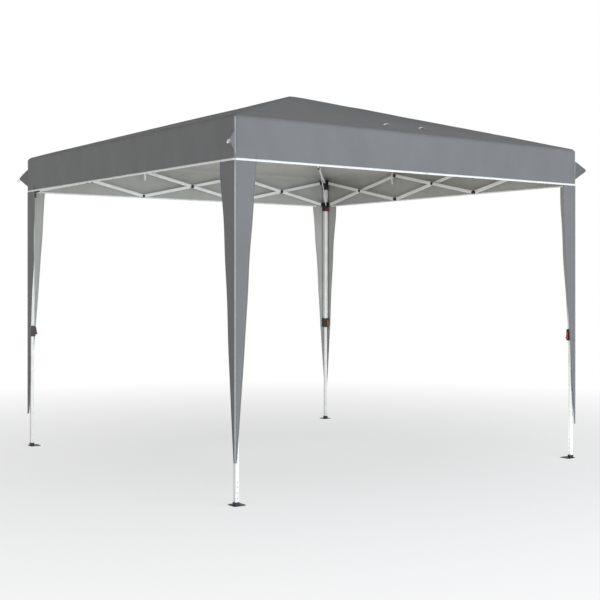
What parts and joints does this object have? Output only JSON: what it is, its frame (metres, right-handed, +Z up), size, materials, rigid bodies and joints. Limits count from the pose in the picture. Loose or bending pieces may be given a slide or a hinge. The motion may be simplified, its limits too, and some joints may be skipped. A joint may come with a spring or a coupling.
{
  "type": "pop-up gazebo",
  "caption": "Folding square gazebo: scissor trusses, rafters and telescopic legs under a low pyramid canopy with a valance and leg covers.",
  "frame": {"origin": "on the ground under the middle of the canopy", "axes": "+Z up, +X from the near leg to the right leg, +Y from the near leg to the left leg"},
  "size_m": [3.095, 3.095, 2.7],
  "materials": {
    "frame_metal": "satin",
    "black_plastic": "matte",
    "red_plastic": "satin",
    "pole_fibre": "satin",
    "canopy_fabric": "matte"
  },
  "bodies": {
    "leg_upper_near": {"leg_upper_near": "frame_metal", "leg_cover_near": "canopy_fabric"},
    "leg_lower_near": {"leg_lower_near": "frame_metal"},
    "slider_near": {"slider_near": "black_plastic"},
    "height_lever_near": {"height_lever_near": "red_plastic"},
    "slider_pull_near": {"slider_pull_near": "red_plastic"},
    "rafter_near": {"rafter_near": "frame_metal"},
    "strut_near": {"strut_near": "frame_metal"},
    "leg_upper_right": {"leg_upper_right": "frame_metal", "leg_cover_right": "canopy_fabric"},
    "leg_lower_right": {"leg_lower_right": "frame_metal"},
    "slider_right": {"slider_right": "black_plastic"},
    "height_lever_right": {"height_lever_right": "red_plastic"},
    "slider_pull_right": {"slider_pull_right": "red_plastic"},
    "rafter_right": {"rafter_right": "frame_metal"},
    "strut_right": {"strut_right": "frame_metal"},
    "leg_upper_back": {"leg_upper_back": "frame_metal", "leg_cover_back": "canopy_fabric"},
    "leg_lower_back": {"leg_lower_back": "frame_metal"},
    "slider_back": {"slider_back": "black_plastic"},
    "height_lever_back": {"height_lever_back": "red_plastic"},
    "slider_pull_back": {"slider_pull_back": "red_plastic"},
    "rafter_back": {"rafter_back": "frame_metal"},
    "strut_back": {"strut_back": "frame_metal"},
    "leg_upper_left": {"leg_upper_left": "frame_metal", "leg_cover_left": "canopy_fabric"},
    "leg_lower_left": {"leg_lower_left": "frame_metal"},
    "slider_left": {"slider_left": "black_plastic"},
    "height_lever_left": {"height_lever_left": "red_plastic"},
    "slider_pull_left": {"slider_pull_left": "red_plastic"},
    "rafter_left": {"rafter_left": "frame_metal"},
    "strut_left": {"strut_left": "frame_metal"},
    "bar_front_right_fall_1": {"bar_front_right_fall_1": "frame_metal"},
    "bar_front_right_rise_1": {"bar_front_right_rise_1": "frame_metal"},
    "bar_front_right_fall_2": {"bar_front_right_fall_2": "frame_metal"},
    "bar_front_right_rise_2": {"bar_front_right_rise_2": "frame_metal"},
    "bar_front_right_fall_3": {"bar_front_right_fall_3": "frame_metal"},
    "bar_front_right_rise_3": {"bar_front_right_rise_3": "frame_metal"},
    "bar_back_right_fall_1": {"bar_back_right_fall_1": "frame_metal"},
    "bar_back_right_rise_1": {"bar_back_right_rise_1": "frame_metal"},
    "bar_back_right_fall_2": {"bar_back_right_fall_2": "frame_metal"},
    "bar_back_right_rise_2": {"bar_back_right_rise_2": "frame_metal"},
    "bar_back_right_fall_3": {"bar_back_right_fall_3": "frame_metal"},
    "bar_back_right_rise_3": {"bar_back_right_rise_3": "frame_metal"},
    "bar_back_left_fall_1": {"bar_back_left_fall_1": "frame_metal"},
    "bar_back_left_rise_1": {"bar_back_left_rise_1": "frame_metal"},
    "bar_back_left_fall_2": {"bar_back_left_fall_2": "frame_metal"},
    "bar_back_left_rise_2": {"bar_back_left_rise_2": "frame_metal"},
    "bar_back_left_fall_3": {"bar_back_left_fall_3": "frame_metal"},
    "bar_back_left_rise_3": {"bar_back_left_rise_3": "frame_metal"},
    "bar_front_left_fall_1": {"bar_front_left_fall_1": "frame_metal"},
    "bar_front_left_rise_1": {"bar_front_left_rise_1": "frame_metal"},
    "bar_front_left_fall_2": {"bar_front_left_fall_2": "frame_metal"},
    "bar_front_left_rise_2": {"bar_front_left_rise_2": "frame_metal"},
    "bar_front_left_fall_3": {"bar_front_left_fall_3": "frame_metal"},
    "bar_front_left_rise_3": {"bar_front_left_rise_3": "frame_metal"},
    "canopy": {"canopy_roof": "canopy_fabric", "canopy_valance": "canopy_fabric", "roof_poles": "pole_fibre", "peak_hub": "black_plastic"}
  },
  "joints": [
    {"name": "fold", "type": "hinge", "parent": "leg_upper_near", "child": "bar_front_right_fall_1", "pos_m": [-1.422, -1.46, 2.21], "axis": [0, 1, 0], "range_deg": [0, 73]},
    {"name": "bar_front_right_rise_1_turn", "type": "hinge", "parent": "bar_front_right_fall_1", "child": "bar_front_right_rise_1", "pos_m": [-0.948, -1.46, 2.1065], "axis": [0, -1, 0], "range_deg": [0, 146]},
    {"name": "bar_front_right_rise_2_turn", "type": "hinge", "parent": "bar_front_right_fall_1", "child": "bar_front_right_rise_2", "pos_m": [-0.474, -1.46, 2.003], "axis": [0, -1, 0], "range_deg": [0, 146]},
    {"name": "bar_front_right_fall_2_turn", "type": "hinge", "parent": "bar_front_right_rise_2", "child": "bar_front_right_fall_2", "pos_m": [0, -1.46, 2.1065], "axis": [0, 1, 0], "range_deg": [0, 146]},
    {"name": "bar_front_right_rise_3_turn", "type": "hinge", "parent": "bar_front_right_fall_2", "child": "bar_front_right_rise_3", "pos_m": [0.474, -1.46, 2.003], "axis": [0, -1, 0], "range_deg": [0, 146]},
    {"name": "bar_front_right_fall_3_turn", "type": "hinge", "parent": "bar_front_right_rise_2", "child": "bar_front_right_fall_3", "pos_m": [0.474, -1.46, 2.21], "axis": [0, 1, 0], "range_deg": [0, 146]},
    {"name": "leg_upper_right_turn", "type": "hinge", "parent": "bar_front_right_rise_3", "child": "leg_upper_right", "pos_m": [1.422, -1.46, 2.21], "axis": [0, 1, 0], "range_deg": [0, 73]},
    {"name": "slider_near_turn", "type": "hinge", "parent": "bar_front_right_rise_1", "child": "slider_near", "pos_m": [-1.422, -1.46, 2.003], "axis": [0, 1, 0], "range_deg": [0, 73]},
    {"name": "slider_right_turn", "type": "hinge", "parent": "bar_front_right_fall_3", "child": "slider_right", "pos_m": [1.422, -1.46, 2.003], "axis": [0, -1, 0], "range_deg": [0, 73]},
    {"name": "bar_back_right_fall_1_turn", "type": "hinge", "parent": "leg_upper_right", "child": "bar_back_right_fall_1", "pos_m": [1.46, -1.422, 2.21], "axis": [-1, 0, 0], "range_deg": [0, 73]},
    {"name": "bar_back_right_rise_1_turn", "type": "hinge", "parent": "bar_back_right_fall_1", "child": "bar_back_right_rise_1", "pos_m": [1.46, -0.948, 2.1065], "axis": [1, 0, 0], "range_deg": [0, 146]},
    {"name": "bar_back_right_rise_2_turn", "type": "hinge", "parent": "bar_back_right_fall_1", "child": "bar_back_right_rise_2", "pos_m": [1.46, -0.474, 2.003], "axis": [1, 0, 0], "range_deg": [0, 146]},
    {"name": "bar_back_right_fall_2_turn", "type": "hinge", "parent": "bar_back_right_rise_2", "child": "bar_back_right_fall_2", "pos_m": [1.46, 0, 2.1065], "axis": [-1, 0, 0], "range_deg": [0, 146]},
    {"name": "bar_back_right_rise_3_turn", "type": "hinge", "parent": "bar_back_right_fall_2", "child": "bar_back_right_rise_3", "pos_m": [1.46, 0.474, 2.003], "axis": [1, 0, 0], "range_deg": [0, 146]},
    {"name": "bar_back_right_fall_3_turn", "type": "hinge", "parent": "bar_back_right_rise_2", "child": "bar_back_right_fall_3", "pos_m": [1.46, 0.474, 2.21], "axis": [-1, 0, 0], "range_deg": [0, 146]},
    {"name": "leg_upper_back_turn", "type": "hinge", "parent": "bar_back_right_rise_3", "child": "leg_upper_back", "pos_m": [1.46, 1.422, 2.21], "axis": [-1, 0, 0], "range_deg": [0, 73]},
    {"name": "slider_back_turn", "type": "hinge", "parent": "bar_back_right_fall_3", "child": "slider_back", "pos_m": [1.46, 1.422, 2.003], "axis": [1, 0, 0], "range_deg": [0, 73]},
    {"name": "bar_front_left_rise_3_turn", "type": "hinge", "parent": "leg_upper_near", "child": "bar_front_left_rise_3", "pos_m": [-1.46, -1.422, 2.21], "axis": [-1, 0, 0], "range_deg": [0, 73]},
    {"name": "bar_front_left_fall_3_turn", "type": "hinge", "parent": "bar_front_left_rise_3", "child": "bar_front_left_fall_3", "pos_m": [-1.46, -0.948, 2.1065], "axis": [1, 0, 0], "range_deg": [0, 146]},
    {"name": "bar_front_left_fall_2_turn", "type": "hinge", "parent": "bar_front_left_rise_3", "child": "bar_front_left_fall_2", "pos_m": [-1.46, -0.474, 2.003], "axis": [1, 0, 0], "range_deg": [0, 146]},
    {"name": "bar_front_left_rise_2_turn", "type": "hinge", "parent": "bar_front_left_fall_2", "child": "bar_front_left_rise_2", "pos_m": [-1.46, 0, 2.1065], "axis": [-1, 0, 0], "range_deg": [0, 146]},
    {"name": "bar_front_left_fall_1_turn", "type": "hinge", "parent": "bar_front_left_rise_2", "child": "bar_front_left_fall_1", "pos_m": [-1.46, 0.474, 2.003], "axis": [1, 0, 0], "range_deg": [0, 146]},
    {"name": "bar_front_left_rise_1_turn", "type": "hinge", "parent": "bar_front_left_fall_1", "child": "bar_front_left_rise_1", "pos_m": [-1.46, 0.948, 2.1065], "axis": [-1, 0, 0], "range_deg": [0, 146]},
    {"name": "leg_upper_left_turn", "type": "hinge", "parent": "bar_front_left_fall_1", "child": "leg_upper_left", "pos_m": [-1.46, 1.422, 2.21], "axis": [-1, 0, 0], "range_deg": [0, 73]},
    {"name": "slider_left_turn", "type": "hinge", "parent": "bar_front_left_rise_1", "child": "slider_left", "pos_m": [-1.46, 1.422, 2.003], "axis": [1, 0, 0], "range_deg": [0, 73]},
    {"name": "bar_back_left_rise_3_turn", "type": "hinge", "parent": "leg_upper_left", "child": "bar_back_left_rise_3", "pos_m": [-1.422, 1.46, 2.21], "axis": [0, 1, 0], "range_deg": [0, 73]},
    {"name": "bar_back_left_fall_3_turn", "type": "hinge", "parent": "bar_back_left_rise_3", "child": "bar_back_left_fall_3", "pos_m": [-0.948, 1.46, 2.1065], "axis": [0, -1, 0], "range_deg": [0, 146]},
    {"name": "bar_back_left_fall_2_turn", "type": "hinge", "parent": "bar_back_left_rise_3", "child": "bar_back_left_fall_2", "pos_m": [-0.474, 1.46, 2.003], "axis": [0, -1, 0], "range_deg": [0, 146]},
    {"name": "bar_back_left_rise_2_turn", "type": "hinge", "parent": "bar_back_left_fall_2", "child": "bar_back_left_rise_2", "pos_m": [0, 1.46, 2.1065], "axis": [0, 1, 0], "range_deg": [0, 146]},
    {"name": "bar_back_left_fall_1_turn", "type": "hinge", "parent": "bar_back_left_rise_2", "child": "bar_back_left_fall_1", "pos_m": [0.474, 1.46, 2.003], "axis": [0, -1, 0], "range_deg": [0, 146]},
    {"name": "bar_back_left_rise_1_turn", "type": "hinge", "parent": "bar_back_left_fall_1", "child": "bar_back_left_rise_1", "pos_m": [0.948, 1.46, 2.1065], "axis": [0, 1, 0], "range_deg": [0, 146]},
    {"name": "rafter_near_turn", "type": "hinge", "parent": "leg_upper_near", "child": "rafter_near", "pos_m": [-1.42464, -1.42464, 2.21], "axis": [-0.7071, 0.7071, 0], "range_deg": [0, 94.66]},
    {"name": "strut_near_turn", "type": "hinge", "parent": "slider_near", "child": "strut_near", "pos_m": [-1.42464, -1.42464, 2.003], "axis": [0.7071, -0.7071, 0], "range_deg": [0, 48.66]},
    {"name": "leg_near_height", "type": "slide", "parent": "leg_upper_near", "child": "leg_lower_near", "axis": [0, 0, 1], "range_m": [0, 0.8]},
    {"name": "height_lever_near_press", "type": "hinge", "parent": "leg_upper_near", "child": "height_lever_near", "pos_m": [-1.46, -1.429, 0.918], "axis": [1, 0, 0], "range_deg": [0, 20], "stiffness_Nm_per_rad": 0.4},
    {"name": "slider_pull_near_draw", "type": "slide", "parent": "slider_near", "child": "slider_pull_near", "axis": [0, 1, 0], "range_m": [0, 0.008], "stiffness_N_per_m": 500},
    {"name": "rafter_right_turn", "type": "hinge", "parent": "leg_upper_right", "child": "rafter_right", "pos_m": [1.42464, -1.42464, 2.21], "axis": [-0.7071, -0.7071, 0], "range_deg": [0, 94.66]},
    {"name": "strut_right_turn", "type": "hinge", "parent": "slider_right", "child": "strut_right", "pos_m": [1.42464, -1.42464, 2.003], "axis": [0.7071, 0.7071, 0], "range_deg": [0, 48.66]},
    {"name": "leg_right_height", "type": "slide", "parent": "leg_upper_right", "child": "leg_lower_right", "axis": [0, 0, 1], "range_m": [0, 0.8]},
    {"name": "height_lever_right_press", "type": "hinge", "parent": "leg_upper_right", "child": "height_lever_right", "pos_m": [1.429, -1.46, 0.918], "axis": [0, 1, 0], "range_deg": [0, 20], "stiffness_Nm_per_rad": 0.4},
    {"name": "slider_pull_right_draw", "type": "slide", "parent": "slider_right", "child": "slider_pull_right", "axis": [-1, 0, 0], "range_m": [0, 0.008], "stiffness_N_per_m": 500},
    {"name": "rafter_back_turn", "type": "hinge", "parent": "leg_upper_back", "child": "rafter_back", "pos_m": [1.42464, 1.42464, 2.21], "axis": [0.7071, -0.7071, 0], "range_deg": [0, 94.66]},
    {"name": "strut_back_turn", "type": "hinge", "parent": "slider_back", "child": "strut_back", "pos_m": [1.42464, 1.42464, 2.003], "axis": [-0.7071, 0.7071, 0], "range_deg": [0, 48.66]},
    {"name": "leg_back_height", "type": "slide", "parent": "leg_upper_back", "child": "leg_lower_back", "axis": [0, 0, 1], "range_m": [0, 0.8]},
    {"name": "height_lever_back_press", "type": "hinge", "parent": "leg_upper_back", "child": "height_lever_back", "pos_m": [1.46, 1.429, 0.918], "axis": [-1, 0, 0], "range_deg": [0, 20], "stiffness_Nm_per_rad": 0.4},
    {"name": "slider_pull_back_draw", "type": "slide", "parent": "slider_back", "child": "slider_pull_back", "axis": [0, -1, 0], "range_m": [0, 0.008], "stiffness_N_per_m": 500},
    {"name": "rafter_left_turn", "type": "hinge", "parent": "leg_upper_left", "child": "rafter_left", "pos_m": [-1.42464, 1.42464, 2.21], "axis": [0.7071, 0.7071, 0], "range_deg": [0, 94.66]},
    {"name": "strut_left_turn", "type": "hinge", "parent": "slider_left", "child": "strut_left", "pos_m": [-1.42464, 1.42464, 2.003], "axis": [-0.7071, -0.7071, 0], "range_deg": [0, 48.66]},
    {"name": "leg_left_height", "type": "slide", "parent": "leg_upper_left", "child": "leg_lower_left", "axis": [0, 0, 1], "range_m": [0, 0.8]},
    {"name": "height_lever_left_press", "type": "hinge", "parent": "leg_upper_left", "child": "height_lever_left", "pos_m": [-1.429, 1.46, 0.918], "axis": [0, -1, 0], "range_deg": [0, 20], "stiffness_Nm_per_rad": 0.4},
    {"name": "slider_pull_left_draw", "type": "slide", "parent": "slider_left", "child": "slider_pull_left", "axis": [1, 0, 0], "range_m": [0, 0.008], "stiffness_N_per_m": 500},
    {"name": "canopy_gather", "type": "slide", "parent": "leg_upper_near", "child": "canopy", "axis": [-0.694, -0.694, -0.1917], "range_m": [0, 1.87782], "deforming": ["canopy_roof", "canopy_valance", "roof_poles"]}
  ],
  "couplings": [
    {"joint": "bar_front_right_rise_1_turn", "follows": "fold", "ratio": 2},
    {"joint": "bar_front_right_rise_2_turn", "follows": "fold", "ratio": 2},
    {"joint": "bar_front_right_fall_2_turn", "follows": "fold", "ratio": 2},
    {"joint": "bar_front_right_rise_3_turn", "follows": "fold", "ratio": 2},
    {"joint": "bar_front_right_fall_3_turn", "follows": "fold", "ratio": 2},
    {"joint": "leg_upper_right_turn", "follows": "fold", "ratio": 1},
    {"joint": "slider_near_turn", "follows": "fold", "ratio": 1},
    {"joint": "slider_right_turn", "follows": "fold", "ratio": 1},
    {"joint": "bar_back_right_fall_1_turn", "follows": "fold", "ratio": 1},
    {"joint": "bar_back_right_rise_1_turn", "follows": "fold", "ratio": 2},
    {"joint": "bar_back_right_rise_2_turn", "follows": "fold", "ratio": 2},
    {"joint": "bar_back_right_fall_2_turn", "follows": "fold", "ratio": 2},
    {"joint": "bar_back_right_rise_3_turn", "follows": "fold", "ratio": 2},
    {"joint": "bar_back_right_fall_3_turn", "follows": "fold", "ratio": 2},
    {"joint": "leg_upper_back_turn", "follows": "fold", "ratio": 1},
    {"joint": "slider_back_turn", "follows": "fold", "ratio": 1},
    {"joint": "bar_front_left_rise_3_turn", "follows": "fold", "ratio": 1},
    {"joint": "bar_front_left_fall_3_turn", "follows": "fold", "ratio": 2},
    {"joint": "bar_front_left_fall_2_turn", "follows": "fold", "ratio": 2},
    {"joint": "bar_front_left_rise_2_turn", "follows": "fold", "ratio": 2},
    {"joint": "bar_front_left_fall_1_turn", "follows": "fold", "ratio": 2},
    {"joint": "bar_front_left_rise_1_turn", "follows": "fold", "ratio": 2},
    {"joint": "leg_upper_left_turn", "follows": "fold", "ratio": 1},
    {"joint": "slider_left_turn", "follows": "fold", "ratio": 1},
    {"joint": "bar_back_left_rise_3_turn", "follows": "fold", "ratio": 1},
    {"joint": "bar_back_left_fall_3_turn", "follows": "fold", "ratio": 2},
    {"joint": "bar_back_left_fall_2_turn", "follows": "fold", "ratio": 2},
    {"joint": "bar_back_left_rise_2_turn", "follows": "fold", "ratio": 2},
    {"joint": "bar_back_left_fall_1_turn", "follows": "fold", "ratio": 2},
    {"joint": "bar_back_left_rise_1_turn", "follows": "fold", "ratio": 2},
    {"joint": "rafter_near_turn", "follows": "fold", "ratio": 1.2967},
    {"joint": "strut_near_turn", "follows": "fold", "ratio": 0.66651},
    {"joint": "rafter_right_turn", "follows": "fold", "ratio": 1.2967},
    {"joint": "strut_right_turn", "follows": "fold", "ratio": 0.66651},
    {"joint": "rafter_back_turn", "follows": "fold", "ratio": 1.2967},
    {"joint": "strut_back_turn", "follows": "fold", "ratio": 0.66651},
    {"joint": "rafter_left_turn", "follows": "fold", "ratio": 1.2967},
    {"joint": "strut_left_turn", "follows": "fold", "ratio": 0.66651},
    {"joint": "canopy_gather", "follows": "fold", "m_per_rad": 1.4738}
  ]
}
